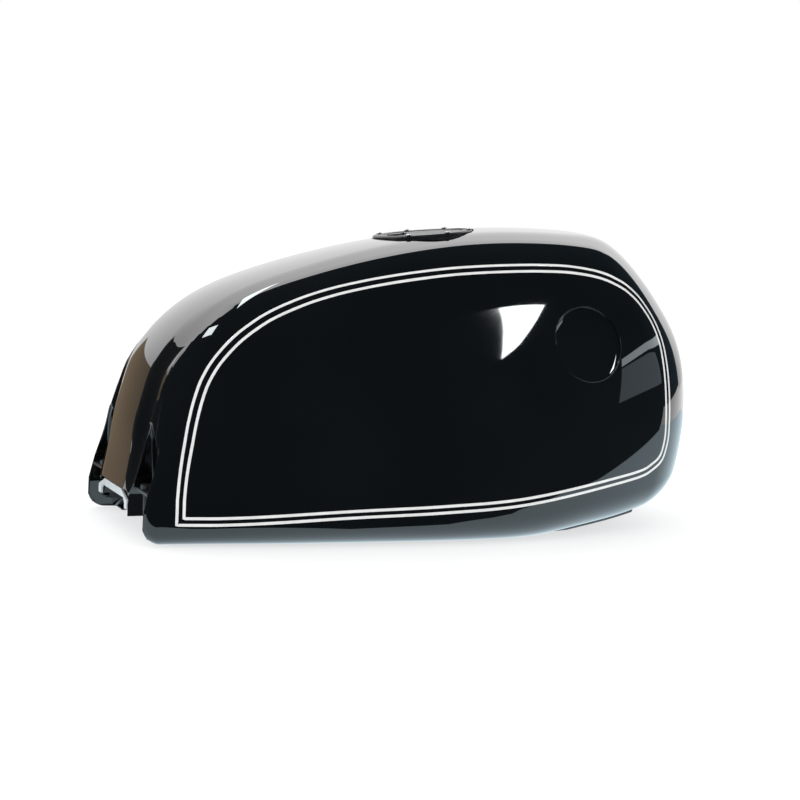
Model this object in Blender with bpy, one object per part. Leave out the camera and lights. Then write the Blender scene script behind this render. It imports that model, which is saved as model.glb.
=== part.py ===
"""Motorcycle fuel tank: two pressed side shells over a tunnel pan, with a hinged, lockable flush cap.

Frame: +X points to the front of the tank, +Y to its left, +Z up; the floor it stands on is Z = 0.
The left half is modelled and mirrored, because the tank is symmetric about Y = 0.
"""
import math

import bmesh
import bpy
import numpy as np
from mathutils import Matrix, Vector

# ---------------------------------------------------------------- driving dimensions (metres)
SHEET = 0.0012            # steel sheet of the shells, pan and pockets
GAP = 0.0003              # clearance between pieces that touch on the real tank
LEAN = 1.50               # how fast the flanks curve in, in 1/m, above and below the waist

# Centre line of the tank from the rear foot over the top to the nose foot:
# x, z, radius of the corner between this band and the flank, crown (1/radius across the band)
PROFILE = [
    (-0.282, -0.010, 0.010, 0.0),
    (-0.2925, 0.014, 0.013, 0.2),
    (-0.2930, 0.041, 0.018, 0.6),
    (-0.2885, 0.070, 0.023, 1.3),
    (-0.2850, 0.101, 0.031, 2.5),
    (-0.2780, 0.130, 0.034, 2.9),
    (-0.2715, 0.151, 0.034, 3.0),
    (-0.2595, 0.172, 0.033, 3.0),
    (-0.2370, 0.197, 0.031, 3.1),
    (-0.1975, 0.2240, 0.028, 3.2),
    (-0.138, 0.2475, 0.025, 3.3),
    (-0.066, 0.2675, 0.023, 3.3),
    (0.024, 0.2840, 0.022, 3.3),
    (0.104, 0.2905, 0.024, 3.3),
    (0.159, 0.2905, 0.026, 3.3),
    (0.191, 0.2850, 0.030, 3.3),
    (0.2245, 0.2605, 0.036, 3.3),
    (0.2550, 0.2275, 0.044, 3.2),
    (0.2790, 0.1930, 0.050, 3.0),
    (0.2930, 0.1500, 0.054, 2.8),
    (0.2930, 0.1050, 0.052, 2.6),
    (0.2845, 0.0600, 0.046, 2.5),
    (0.2740, 0.0250, 0.042, 2.5),
    (0.262, -0.010, 0.040, 2.5),
]
# Along the tank: x, half width at the waist
WIDTH = [(-0.306, 0.101), (-0.271, 0.107), (-0.196, 0.1250), (-0.086, 0.1440), (0.014, 0.1525),
         (0.104, 0.1485), (0.174, 0.1375), (0.234, 0.1215), (0.304, 0.0950)]
# x, height of the waist, the widest line of the flank
WAIST = [(-0.306, 0.040), (-0.106, 0.040), (0.034, 0.042), (0.104, 0.062), (0.164, 0.082), (0.304, 0.110)]
# x, height of the underside
FLOOR = [(-0.306, 0.0), (-0.106, 0.0), (0.034, 0.0), (0.084, 0.0010), (0.134, 0.0065), (0.194, 0.0140),
         (0.244, 0.0245), (0.304, 0.040)]
# x, radius of the roll between the flank and the underside
ROLL = [(-0.306, 0.012), (-0.276, 0.014), (-0.206, 0.020), (-0.106, 0.026), (0.044, 0.027),
        (0.154, 0.028), (0.304, 0.026)]
# A shallow valley with a crisp outer edge runs up the rear face from each mounting pocket
VALLEY_DEPTH, VALLEY_Y = 0.006, (0.036, 0.066)
VALLEY_Z, VALLEY_REACH = 0.100, 0.110

# Frame tunnel, rear end to front end
TUNNEL_HALF = (0.040, 0.055)
TUNNEL_ROOF = (0.036, 0.100)
TUNNEL_X = (-0.2895, 0.2800)
NOSE_FOOT = 0.0485                  # height where the band ends at the nose
MOUTH_Z = (0.041, 0.106)          # lower edge of the centre band above each tunnel mouth

# Mounting pocket in the rear face, outline in y, z seen from behind
POCKET_FOOT = (0.0180, 0.0030)     # height of its lower edge at the tunnel and at the flank
POCKET = [(0.0490, POCKET_FOOT[0]), (0.0490, 0.0380), (0.0545, 0.0500), (0.0560, 0.0780), (0.0585, 0.0940),
          (0.0670, 0.1040), (0.0800, 0.0945), (0.0890, 0.0810), (0.0935, 0.0670), (0.0950, 0.0500),
          (0.0950, POCKET_FOOT[1])]
POCKET_FRONT = (-0.2660, -0.2740)  # x of its front wall at the floor and at the tip
LEDGE_Z, LEDGE_T = 0.0430, 0.0025  # rear mounting bracket: underside and thickness

# Filler cap
CAP_CENTRE = Vector((0.010, 0.0, 0.2818))
CAP_TILT = math.radians(-7.1)
HOLE_R = 0.0513
RING_R, LID_R, NECK_R = 0.0492, 0.0380, 0.0225
HINGE_X, HINGE_H = 0.042, -0.0030
LOCK_X = -0.0315
BADGE_XZ, BADGE_R, BADGE_FLOOR = (0.131, 0.185), 0.0368, -0.0042

# ---------------------------------------------------------------- clean scene
for old in list(bpy.data.objects):
    bpy.data.objects.remove(old)


# ---------------------------------------------------------------- curves and the outer form
class Spline:
    """Natural cubic spline through a few points."""

    def __init__(self, xs, ys):
        self.x = np.array(xs, float)
        self.y = np.array(ys, float)
        self.h = np.diff(self.x)
        count = len(self.x)
        matrix = np.eye(count)
        right = np.zeros(count)
        for i in range(1, count - 1):
            left_h, right_h = self.h[i - 1], self.h[i]
            matrix[i, i - 1:i + 2] = left_h, 2 * (left_h + right_h), right_h
            right[i] = 6 * ((self.y[i + 1] - self.y[i]) / right_h - (self.y[i] - self.y[i - 1]) / left_h)
        self.bend = np.linalg.solve(matrix, right)

    def _cell(self, q):
        q = np.clip(q, self.x[0], self.x[-1])
        i = np.clip(np.searchsorted(self.x, q) - 1, 0, len(self.x) - 2)
        a = (self.x[i + 1] - q) / self.h[i]
        return i, a, 1 - a

    def __call__(self, q):
        i, a, b = self._cell(q)
        curve = (a ** 3 - a) * self.bend[i] + (b ** 3 - b) * self.bend[i + 1]
        return a * self.y[i] + b * self.y[i + 1] + curve * self.h[i] ** 2 / 6

    def slope(self, q):
        i, a, b = self._cell(q)
        curve = (1 - 3 * a * a) * self.bend[i] + (3 * b * b - 1) * self.bend[i + 1]
        return (self.y[i + 1] - self.y[i]) / self.h[i] + curve * self.h[i] / 6


def columns(rows):
    return [np.array(c) for c in zip(*rows)]


PX, PZ, PR, PC = columns(PROFILE)
KNOTS = np.concatenate([[0], np.cumsum(np.hypot(np.diff(PX), np.diff(PZ)) ** 0.5)])
line_x, line_z = Spline(KNOTS, PX), Spline(KNOTS, PZ)
corner_radius, crown = Spline(KNOTS, PR), Spline(KNOTS, PC)
width, waist = Spline(*columns(WIDTH)), Spline(*columns(WAIST))
floor_line, roll = Spline(*columns(FLOOR)), Spline(*columns(ROLL))
SAMPLES = np.linspace(0, KNOTS[-1], 240)


def nearest_on_profile(x, z):
    """Depth inside the centre line, and where along it the nearest point is."""
    apart = (x[:, None] - line_x(SAMPLES)) ** 2 + (z[:, None] - line_z(SAMPLES)) ** 2
    t = SAMPLES[apart.argmin(1)]
    for _ in range(4):
        dx, dz = x - line_x(t), z - line_z(t)
        tx, tz = line_x.slope(t), line_z.slope(t)
        t = np.clip(t + (dx * tx + dz * tz) / (tx * tx + tz * tz), 0, KNOTS[-1])
    dx, dz = x - line_x(t), z - line_z(t)
    tx, tz = line_x.slope(t), line_z.slope(t)
    return (tz * dx - tx * dz) / np.hypot(tx, tz), t


def round_corner(a, b, radius):
    """Two distance fields joined with a rounded corner."""
    u, v = np.maximum(a + radius, 0), np.maximum(b + radius, 0)
    return np.minimum(np.maximum(a, b), -radius) + np.hypot(u, v)


def form(points):
    """Distance outside the tank's outer surface, negative inside, for an array of points."""
    x, y, z = points[:, 0], np.abs(points[:, 1]), points[:, 2]
    depth, t = nearest_on_profile(x, z)
    bow = crown(t)
    fade = np.clip(1 - np.abs(z - VALLEY_Z) / VALLEY_REACH, 0, 1) * (x < 0)
    across = np.clip((y - VALLEY_Y[0]) / (VALLEY_Y[1] - VALLEY_Y[0]), 0, 1)
    valley = VALLEY_DEPTH * fade * 6.75 * across ** 2 * (1 - across)
    band = (y ** 2 * bow / 2 + valley - depth) / np.sqrt(1 + (y * bow) ** 2)
    above = z - waist(x)
    flank = y - width(x) + LEAN * above ** 2
    flank = flank / np.sqrt(1 + (2 * LEAN * above) ** 2 + width.slope(x) ** 2)
    under = (floor_line(x) - z) / np.sqrt(1 + floor_line.slope(x) ** 2)
    return round_corner(round_corner(band, flank, corner_radius(t)), under, roll(x))


def settle(points, level=0.0, rounds=6):
    """Moves points onto the surface where form() equals level."""
    points = np.array(points, float)
    step = 1e-5
    for _ in range(rounds):
        value = form(points) - level
        slope = np.stack([form(points + step * axis) - form(points - step * axis) for axis in np.eye(3)], -1)
        slope = slope / (2 * step)
        points = points - slope * (value / np.maximum((slope ** 2).sum(-1), 0.2))[:, None]
    return points


def outward(point, step=1e-4):
    """Direction straight out of the surface at a point."""
    rise = [form(np.array([point + step * a]))[0] - form(np.array([point - step * a]))[0] for a in np.eye(3)]
    return Vector([float(r) / step for r in rise]).normalized()


# ---------------------------------------------------------------- building blocks
def material(name, colour, roughness, metallic=0.0):
    made = bpy.data.materials.new(name)
    made.use_nodes = True
    shader = made.node_tree.nodes["Principled BSDF"]
    shader.inputs["Base Color"].default_value = (*colour, 1.0)
    shader.inputs["Roughness"].default_value = roughness
    shader.inputs["Metallic"].default_value = metallic
    return made


PAINT = material("black_paint", (0.006, 0.007, 0.008), 0.06)
UNDERSIDE = material("underside_paint", (0.012, 0.013, 0.014), 0.35)
ANODISED = material("black_anodised", (0.02, 0.02, 0.02), 0.40, 0.6)
STEEL = material("zinc_steel", (0.55, 0.55, 0.56), 0.35, 1.0)
BRASS = material("lock_brass", (0.60, 0.48, 0.22), 0.35, 1.0)
RUBBER = material("rubber", (0.02, 0.02, 0.02), 0.70)


def add(name, mesh, finish, place=Matrix.Identity(4), parent=None):
    made = bpy.data.objects.new(name, mesh)
    bpy.context.scene.collection.objects.link(made)
    made.data.materials.append(finish)
    made.parent = parent
    made.matrix_local = place
    return made


def smooth(mesh, angle=35):
    mesh.shade_smooth()
    mesh.set_sharp_from_angle(angle=math.radians(angle))


def mesh_from(name, verts, faces, merge=1e-6, sharp=35, triangles=False):
    bm = bmesh.new()
    made = [bm.verts.new(v) for v in verts]
    for face in faces:
        bm.faces.new([made[i] for i in face])
    bmesh.ops.remove_doubles(bm, verts=bm.verts, dist=merge)
    bmesh.ops.dissolve_degenerate(bm, edges=bm.edges, dist=merge)
    bmesh.ops.recalc_face_normals(bm, faces=bm.faces)
    if triangles:
        bmesh.ops.triangulate(bm, faces=bm.faces)
    mesh = bpy.data.meshes.new(name)
    bm.to_mesh(mesh)
    bm.free()
    smooth(mesh, sharp)
    return mesh


def turned(name, profile, segments=32):
    """A solid of revolution about Z from a closed outline of (radius, height) points."""
    verts, faces = [], []
    for k in range(segments):
        angle = 2 * math.pi * k / segments
        verts += [(r * math.cos(angle), r * math.sin(angle), h) for r, h in profile]
    count = len(profile)
    for k in range(segments):
        here, there = k * count, (k + 1) % segments * count
        for i in range(count):
            j = (i + 1) % count
            if profile[i][0] < 1e-6 and profile[j][0] < 1e-6:
                continue
            faces.append((here + i, there + i, there + j, here + j))
    return mesh_from(name, verts, faces)


def prism(name, outline, low, high):
    """A straight prism along Z over a closed outline of (x, y) points."""
    count = len(outline)
    verts = [(x, y, low) for x, y in outline] + [(x, y, high) for x, y in outline]
    faces = [tuple(range(count)), tuple(range(count, 2 * count))]
    faces += [(i, (i + 1) % count, count + (i + 1) % count, count + i) for i in range(count)]
    return mesh_from(name, verts, faces)


def block(name, low, high):
    (x0, y0, z0), (x1, y1, z1) = low, high
    return prism(name, [(x0, y0), (x1, y0), (x1, y1), (x0, y1)], z0, z1)


def loft(name, rings):
    """A closed solid through rings of points, with both end rings filled."""
    count = len(rings[0])
    verts = [p for ring in rings for p in ring]
    faces = [tuple(range(count)), tuple(range(len(verts) - count, len(verts)))]
    for k in range(len(rings) - 1):
        for i in range(count):
            j = (i + 1) % count
            faces.append((k * count + i, k * count + j, (k + 1) * count + j, (k + 1) * count + i))
    return mesh_from(name, verts, faces)


def boolean(target, tool, operation="DIFFERENCE"):
    """Adds a live Boolean and hides the tool as a wire guide."""
    tool.hide_render = True
    tool.display_type = "WIRE"
    change = target.modifiers.new(tool.name, "BOOLEAN")
    change.object = tool
    change.operation = operation
    change.solver = "EXACT"


def cutter(name, mesh, place=Matrix.Identity(4)):
    return add(name, mesh, PAINT, place)


def mirrored(name, source):
    """The right-hand twin of a left-hand piece, with its own baked mirror-image mesh."""
    bpy.context.view_layer.update()
    evaluated = source.evaluated_get(bpy.context.evaluated_depsgraph_get())
    mesh = bpy.data.meshes.new_from_object(evaluated)
    mesh.name = name
    mesh.transform(Matrix.Diagonal((1, -1, 1, 1)) @ source.matrix_world)
    mesh.flip_normals()
    twin = bpy.data.objects.new(name, mesh)
    bpy.context.scene.collection.objects.link(twin)
    return twin


def axis_place(centre, direction):
    """A placement whose Z axis points along direction."""
    return Matrix.Translation(centre) @ direction.to_track_quat("Z", "Y").to_matrix().to_4x4()


CAP = Matrix.Translation(CAP_CENTRE) @ Matrix.Rotation(CAP_TILT, 4, "Y")
CAP_AXIS = (CAP.to_3x3() @ Vector((0, 0, 1))).normalized()


# ---------------------------------------------------------------- pressed side shells
ACROSS = (0.0, 0.28, 0.52, 0.70, 0.80, 0.88, 0.95, 1.0)   # rows from the centre to the corner
RIM_ROW = 3                                               # the row that becomes the bottom rim
UP_FLANK = (0.0, 0.05, 0.12, 0.22, 0.36, 0.50, 0.64, 0.78, 0.89, 0.95, 1.0)
ALONG_FLANK = (0.0, 0.04, 0.10, 0.18, 0.27, 0.37, 0.47, 0.57, 0.67, 0.76, 0.84, 0.91, 0.96, 1.0)


def knot_at(x, z):
    return nearest_on_profile(np.array([x]), np.array([z]))[1][0]


REAR_CORNER, NOSE_CORNER = knot_at(-0.238, 0.193), knot_at(0.236, 0.245)


def foot_height(y, mouth_z, half, spread):
    """The band ends at the tunnel mouth in the middle and at the underside at the lobes."""
    blend = min(max((y - half) / spread, 0.0), 1.0)
    return mouth_z * (1 - blend * blend * (3 - 2 * blend))


def knot_at_height(z, rear):
    knots = np.linspace(0, REAR_CORNER, 200) if rear else np.linspace(NOSE_CORNER, KNOTS[-1], 200)
    return knots[np.abs(line_z(knots) - z).argmin()]


def band_point(t, share):
    """A point on the sharp-cornered band: t along the centre line, share of the way to the flank."""
    x, z = float(line_x(t)), float(line_z(t))
    tx, tz = float(line_x.slope(t)), float(line_z.slope(t))
    size = math.hypot(tx, tz)
    inward = (tz / size, -tx / size)
    y = 0.12
    for _ in range(8):
        drop = y * y * float(crown(t)) / 2
        px, pz = x + inward[0] * drop, z + inward[1] * drop
        y = float(width(px)) - LEAN * (pz - float(waist(px))) ** 2
    y *= share
    drop = y * y * float(crown(t)) / 2
    return x + inward[0] * drop, y, z + inward[1] * drop


def band_station(kind, q, share):
    """One grid point of the band, with the rear and nose stretches ending at their own feet."""
    if kind == "top":
        return band_point(REAR_CORNER + (NOSE_CORNER - REAR_CORNER) * q, share)
    rear = kind == "rear"
    mouth, half = (MOUTH_Z[0], TUNNEL_HALF[0]) if rear else (MOUTH_Z[1], TUNNEL_HALF[1])
    reach, spread = (0.104, 0.045) if rear else (0.112, 0.016)
    lowest = foot_height(share * reach, mouth, half, spread)
    if not rear:
        lowest = max(lowest, NOSE_FOOT) if share < 0.99 else NOSE_FOOT
    foot = knot_at_height(lowest, rear)
    corner = REAR_CORNER if rear else NOSE_CORNER
    return band_point(foot + (corner - foot) * q, share)


def shell_points():
    """Rows of grid points for the band, the flank and the bottom strip of the left half."""
    rear = [[band_station("rear", q, s) for s in ACROSS] for q in UP_FLANK]
    top = [[band_station("top", q, s) for s in ACROSS] for q in ALONG_FLANK]
    nose = [[band_station("nose", q, s) for s in ACROSS] for q in UP_FLANK[::-1]]
    band = rear + top[1:] + nose[1:]
    left = [row[-1] for row in rear]
    right = [row[-1] for row in nose[::-1]]
    upper = [row[-1] for row in top]
    lower = []
    for q in ALONG_FLANK:
        x = left[0][0] + (right[0][0] - left[0][0]) * q
        z = float(floor_line(x)) * (1 if 0 < q < 1 else 0) + (left[0][2] if q == 0 else 0)
        z = right[0][2] if q == 1 else z
        lower.append((x, 0.0, z))
    flank = []
    for j, v in enumerate(UP_FLANK):
        row = []
        for i, u in enumerate(ALONG_FLANK):
            p = []
            for k in (0, 2):
                sides = (1 - u) * left[j][k] + u * right[j][k]
                ends = (1 - v) * lower[i][k] + v * upper[i][k]
                corners = (1 - u) * ((1 - v) * left[0][k] + v * left[-1][k])
                corners += u * ((1 - v) * right[0][k] + v * right[-1][k])
                p.append(sides + ends - corners)
            y = float(width(p[0])) - LEAN * (p[1] - float(waist(p[0]))) ** 2
            row.append((p[0], y, p[1]))
        flank.append(row)
    for j in range(len(UP_FLANK)):
        flank[j][0], flank[j][-1] = left[j], right[j]
    flank[-1] = upper
    strip = []
    for s in ACROSS[RIM_ROW:]:
        strip.append([(x, y * s, z) for x, y, z in flank[0]])
    for k, s in enumerate(ACROSS[RIM_ROW:]):
        strip[k][0] = rear[0][RIM_ROW + k]
        strip[k][-1] = nose[-1][RIM_ROW + k]
    return band, flank, strip


def grid_faces(rows, offset):
    wide = len(rows[0])
    return [(offset + j * wide + i, offset + j * wide + i + 1, offset + (j + 1) * wide + i + 1,
             offset + (j + 1) * wide + i) for j in range(len(rows) - 1) for i in range(wide - 1)]


def shell_mesh():
    verts, faces = [], []
    for rows in shell_points():
        faces += grid_faces(rows, len(verts))
        verts += [p for row in rows for p in row]
    centre = np.array([abs(p[1]) < 1e-9 for p in verts])
    placed = settle(verts)
    placed[centre, 1] = GAP / 2
    mesh = mesh_from("outer_shell_left", [tuple(p) for p in placed], faces, merge=2e-5, sharp=50, triangles=True)
    middle = Vector((0.0, 0.0, 0.14))
    if sum(f.normal.dot(f.center - middle) for f in mesh.polygons) < 0:
        mesh.flip_normals()
    return mesh


def sheet(obj, offset=-1.0):
    """Gives an open surface the thickness of the steel sheet."""
    change = obj.modifiers.new("sheet", "SOLIDIFY")
    change.thickness = SHEET
    change.offset = offset
    change.use_even_offset = True


def inset(outline, distance):
    """A closed outline moved inwards by a distance (negative moves it out)."""
    count = len(outline)
    area = sum(outline[i - 1][0] * outline[i][1] - outline[i][0] * outline[i - 1][1] for i in range(count))
    turn = 1 if area > 0 else -1
    moved = []
    for i in range(count):
        before, here, after = (Vector(outline[k % count]) for k in (i - 1, i, i + 1))
        first, second = (here - before).normalized(), (after - here).normalized()
        one = Vector((-first.y, first.x)) * turn
        two = Vector((-second.y, second.x)) * turn
        both = (one + two) / (1 + one.dot(two))
        moved.append(tuple(here + both * distance))
    return moved


def rear_surface_x(y, z):
    """Where the rear face lies at a height z and a distance y from the middle."""
    xs = np.linspace(-0.300, -0.235, 400)
    inside = form(np.stack([xs, np.full_like(xs, y), np.full_like(xs, z)], -1)) < 0
    return float(xs[inside.argmax()]) if inside.any() else -0.290


def pocket_front(z):
    return POCKET_FRONT[0] + (POCKET_FRONT[1] - POCKET_FRONT[0]) * z / POCKET[5][1]


def pocket_solid(name, shrink, rear=None, foot=POCKET_FOOT):
    """The pocket's space as a solid: from the rear face, or from a plane behind it, to the front wall."""
    outline = inset(POCKET, shrink)
    outline[0], outline[-1] = (outline[0][0], foot[0]), (outline[-1][0], foot[1])
    rear_ring = [(rear_surface_x(y, z) if rear is None else rear, y, z) for y, z in outline]
    front_ring = [(pocket_front(z) - shrink, y, z) for y, z in outline]
    return loft(name, [rear_ring, front_ring])


shell = add("outer_shell_left", shell_mesh(), PAINT)
sheet(shell)
boolean(shell, cutter("cut_filler_hole", turned("cut_filler_hole", [(0, -0.03), (HOLE_R, -0.03), (HOLE_R, 0.03),
                                                                    (0, 0.03)], 48), CAP))
BELOW, BEHIND = (-0.010, -0.010), -0.330
boolean(shell, cutter("cut_pocket", pocket_solid("cut_pocket", 0.0, BEHIND, BELOW)))
badge_centre = settle([(BADGE_XZ[0], 0.127, BADGE_XZ[1])])[0]
badge_place = axis_place(Vector(badge_centre), outward(badge_centre))
boolean(shell, cutter("cut_badge", turned("cut_badge", [(0, -0.012), (BADGE_R, -0.012), (BADGE_R, 0.012),
                                                        (0, 0.012)], 40), badge_place))
DISH_RIM, DISH_R = -0.0020, BADGE_R - 0.0002
dish = [(0, BADGE_FLOOR - SHEET), (BADGE_R + SHEET, BADGE_FLOOR - SHEET), (BADGE_R + SHEET, DISH_RIM),
        (DISH_R, DISH_RIM), (DISH_R, BADGE_FLOOR), (0, BADGE_FLOOR)]
dish_mesh = turned("badge_dish", dish, 40)
rim = [v for v in dish_mesh.vertices if abs(v.co.z - DISH_RIM) < 1e-6]
for vertex, spot in zip(rim, settle([badge_place @ v.co for v in rim], -SHEET / 2)):
    vertex.co = badge_place.inverted() @ Vector(spot)
boolean(shell, cutter("badge_dish", dish_mesh, badge_place), "UNION")
mirrored("outer_shell_right", shell)

# ---------------------------------------------------------------- tunnel pan
PAN_LIFT = SHEET + 0.0022         # height of the pan's floor above the underside of the shells
PAN_MARGIN = 0.006                # how far the pan's floor stops short of the shell's rolled edge
PAN_SHARES = (0.0, 0.05, 0.15, 0.30, 0.45, 0.60, 0.72, 0.83, 0.92, 1.0)
PAN_RAISED = (0.0150, 0.0130, 0.0040)   # how far the pan's floor rises beside the rear of the tunnel
PAN_FLOOR_X = (-0.2780, 0.2400)


def along(pair, x):
    share = (x - TUNNEL_X[0]) / (TUNNEL_X[1] - TUNNEL_X[0])
    return pair[0] + (pair[1] - pair[0]) * share


def pan_rows():
    """Half the pan's lower surface: floor edge, floor, tunnel wall and roof, at each station."""
    rows = []
    for share, raised in zip(PAN_SHARES, PAN_RAISED + (0.0,) * len(PAN_SHARES)):
        floor_x = PAN_FLOOR_X[0] + (PAN_FLOOR_X[1] - PAN_FLOOR_X[0]) * share
        tunnel_x = TUNNEL_X[0] + (TUNNEL_X[1] - TUNNEL_X[0]) * share
        low = float(floor_line(floor_x)) + PAN_LIFT
        edge = float(width(floor_x)) - LEAN * (low - float(waist(floor_x))) ** 2
        edge -= float(roll(floor_x)) + PAN_MARGIN
        half, roof = along(TUNNEL_HALF, tunnel_x), along(TUNNEL_ROOF, tunnel_x)
        wall_low = float(floor_line(tunnel_x)) + PAN_LIFT + 0.008 + raised / 2
        row = [(floor_x, edge, low), (floor_x, (edge + half) / 2 + 0.006, low + raised / 2),
               (floor_x, half + 0.009, low + raised),
               (tunnel_x, half, wall_low), (tunnel_x, half, (wall_low + roof - 0.013) / 2),
               (tunnel_x, half, roof - 0.013), (tunnel_x, half - 0.004, roof - 0.004),
               (tunnel_x, half - 0.013, roof), (tunnel_x, 0.0, roof + 0.001)]
        rows.append(row + [(x, -y, z) for x, y, z in row[-2::-1]])
    return rows


def keep_inside(points, depth):
    """Pulls points that are too near the outer surface back to a given depth."""
    points = np.array(points, float)
    shallow = form(points) > -depth
    points[shallow] = settle(points[shallow], -depth)
    return [tuple(p) for p in points]


def pan_mesh():
    rows = pan_rows()
    verts = [p for row in rows for p in row]
    faces = grid_faces(rows, 0)
    floor_points = [i for i, p in enumerate(verts) if abs(p[1]) > along(TUNNEL_HALF, p[0]) + 0.004]
    for i, p in zip(floor_points, keep_inside([verts[i] for i in floor_points], SHEET + 0.0020)):
        verts[i] = (p[0], p[1], verts[i][2])
    for _ in range(24):
        proud = form(np.array(verts, float)) > -SHEET / 2
        verts = [(x - math.copysign(0.0004, x), y, z) if out else (x, y, z) for (x, y, z), out in zip(verts, proud)]
    mesh = mesh_from("tunnel_pan", verts, faces, sharp=50, triangles=True)
    if mesh.polygons[0].normal.z > 0:
        mesh.flip_normals()
    return mesh


BUNG = Vector((-0.100, 0.0740, 0.0))
DRAIN_R = 0.0030
DRAIN_ANGLE, DRAIN_REACH = math.radians(100), 0.033
pan = add("tunnel_pan", pan_mesh(), UNDERSIDE)
sheet(pan)
for side, flip in (("left", 1), ("right", -1)):
    mesh = pocket_solid("cut_pan_pocket_" + side, 0.0, BEHIND, BELOW)
    if flip < 0:
        mesh.transform(Matrix.Diagonal((1, -1, 1, 1)))
        mesh.flip_normals()
    boolean(pan, cutter("cut_pan_pocket_" + side, mesh))
    hole = turned("cut_bung_" + side, [(0, -0.01), (0.0113, -0.01), (0.0113, 0.03), (0, 0.03)], 20)
    boolean(pan, cutter("cut_bung_" + side, hole, Matrix.Translation((BUNG.x, flip * BUNG.y, 0))))
boolean(pan, cutter("cut_flange_foot", block("cut_flange_foot", (-0.33, -0.0428, -0.01), (-0.284, 0.0428, 0.024))))

# ---------------------------------------------------------------- flange round the rear tunnel mouth
FLANGE_X, FLANGE_IN, FLANGE_OUT = (-0.2925, -0.2905), 0.0405, 0.0485
FLANGE_FOOT, FLANGE_TOP = 0.0240, (0.0330, 0.0398)
half_flange = [(FLANGE_IN - 0.004, FLANGE_TOP[0]), (FLANGE_IN, FLANGE_TOP[0] - 0.0045), (FLANGE_IN, FLANGE_FOOT),
               (FLANGE_OUT, FLANGE_FOOT), (FLANGE_OUT, 0.0318), (FLANGE_IN - 0.0125, FLANGE_TOP[1])]
flange_outline = half_flange + [(-y, z) for y, z in half_flange[::-1]]
LENGTHWAYS = Matrix(((0, 0, 1, 0), (1, 0, 0, 0), (0, 1, 0, 0), (0, 0, 0, 1)))
add("tunnel_mouth_flange", prism("tunnel_mouth_flange", flange_outline, *FLANGE_X), UNDERSIDE, LENGTHWAYS)

# ---------------------------------------------------------------- rear mounting pockets, ledges and studs
pocket = add("mount_pocket_left", pocket_solid("mount_pocket_left", GAP), PAINT)
inner_space = pocket_solid("cut_pocket_inside", GAP + SHEET, BEHIND, BELOW)
boolean(pocket, cutter("cut_pocket_inside", inner_space))
mirrored("mount_pocket_right", pocket)

STUD = (-0.2795, 0.0700)
STUD_R, STUD_TIP = 0.0042, 0.0250
ledge = add("rear_mount_bracket_left", block("rear_mount_bracket_left", (-0.2870, 0.0546, LEDGE_Z),
                                             (-0.2710, 0.0930, LEDGE_Z + LEDGE_T)), UNDERSIDE)
stud_place = Matrix.Translation((STUD[0], STUD[1], 0))
hole = turned("cut_ledge", [(0, 0.03), (STUD_R + 0.0003, 0.03), (STUD_R + 0.0003, 0.06), (0, 0.06)], 16)
boolean(ledge, cutter("cut_ledge", hole, stud_place))
mirrored("rear_mount_bracket_right", ledge)
stud_profile = [(0, STUD_TIP), (STUD_R * 0.7, STUD_TIP + 0.0007), (STUD_R, STUD_TIP + 0.0026),
                (STUD_R, LEDGE_Z + LEDGE_T + GAP), (0.0068, LEDGE_Z + LEDGE_T + GAP),
                (0.0068, LEDGE_Z + LEDGE_T + 0.0045), (0, LEDGE_Z + LEDGE_T + 0.0050)]
stud = add("rear_mount_stud_left", turned("rear_mount_stud_left", stud_profile, 12), STEEL, stud_place)
mirrored("rear_mount_stud_right", stud)

# ---------------------------------------------------------------- front skirts, mount cups and fuel tap bungs
SKIRT_X, SKIRT_Y = (0.1180, 0.2120), (0.0870, 0.1060)
skirt_stations = [SKIRT_X[0] + (SKIRT_X[1] - SKIRT_X[0]) * k / 6 for k in range(7)]
skirt_rings = []
for x in skirt_stations:
    share = (x - SKIRT_X[0]) / (SKIRT_X[1] - SKIRT_X[0])
    top = float(floor_line(x)) - GAP
    bottom = max(top - 0.0062 + 0.0030 * share, 0.0)
    outer = SKIRT_Y[1] - 0.010 * share
    inner = SKIRT_Y[0] - 0.010 * share
    skirt_rings.append([(x, inner, top), (x, outer, top), (x, outer, bottom + 0.002), (x, outer - 0.002, bottom),
                        (x, inner + 0.002, bottom), (x, inner, bottom + 0.002)])
skirt = add("front_skirt_left", loft("front_skirt_left", skirt_rings), UNDERSIDE)
mirrored("front_skirt_right", skirt)

CUP = Vector((0.2050, 0.0, 0.0600))
cup_wall = along(TUNNEL_HALF, CUP.x) - 0.0008
cup_profile = [(0.0, 0.0), (0.0160, 0.0), (0.0160, 0.0140), (0.0145, 0.0140), (0.0145, 0.0015), (0.0, 0.0015)]
cup_place = Matrix.Translation((CUP.x, cup_wall, CUP.z)) @ Matrix.Rotation(math.radians(90), 4, "X")
cup = add("front_mount_cup_left", turned("front_mount_cup_left", cup_profile, 24), UNDERSIDE, cup_place)
mirrored("front_mount_cup_right", cup)

bung_profile = [(0.0070, 0.0006), (0.0110, 0.0006), (0.0110, 0.0140), (0.0070, 0.0140)]
bung = add("fuel_tap_bung_left", turned("fuel_tap_bung_left", bung_profile, 20), STEEL, Matrix.Translation(BUNG))
mirrored("fuel_tap_bung_right", bung)

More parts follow.
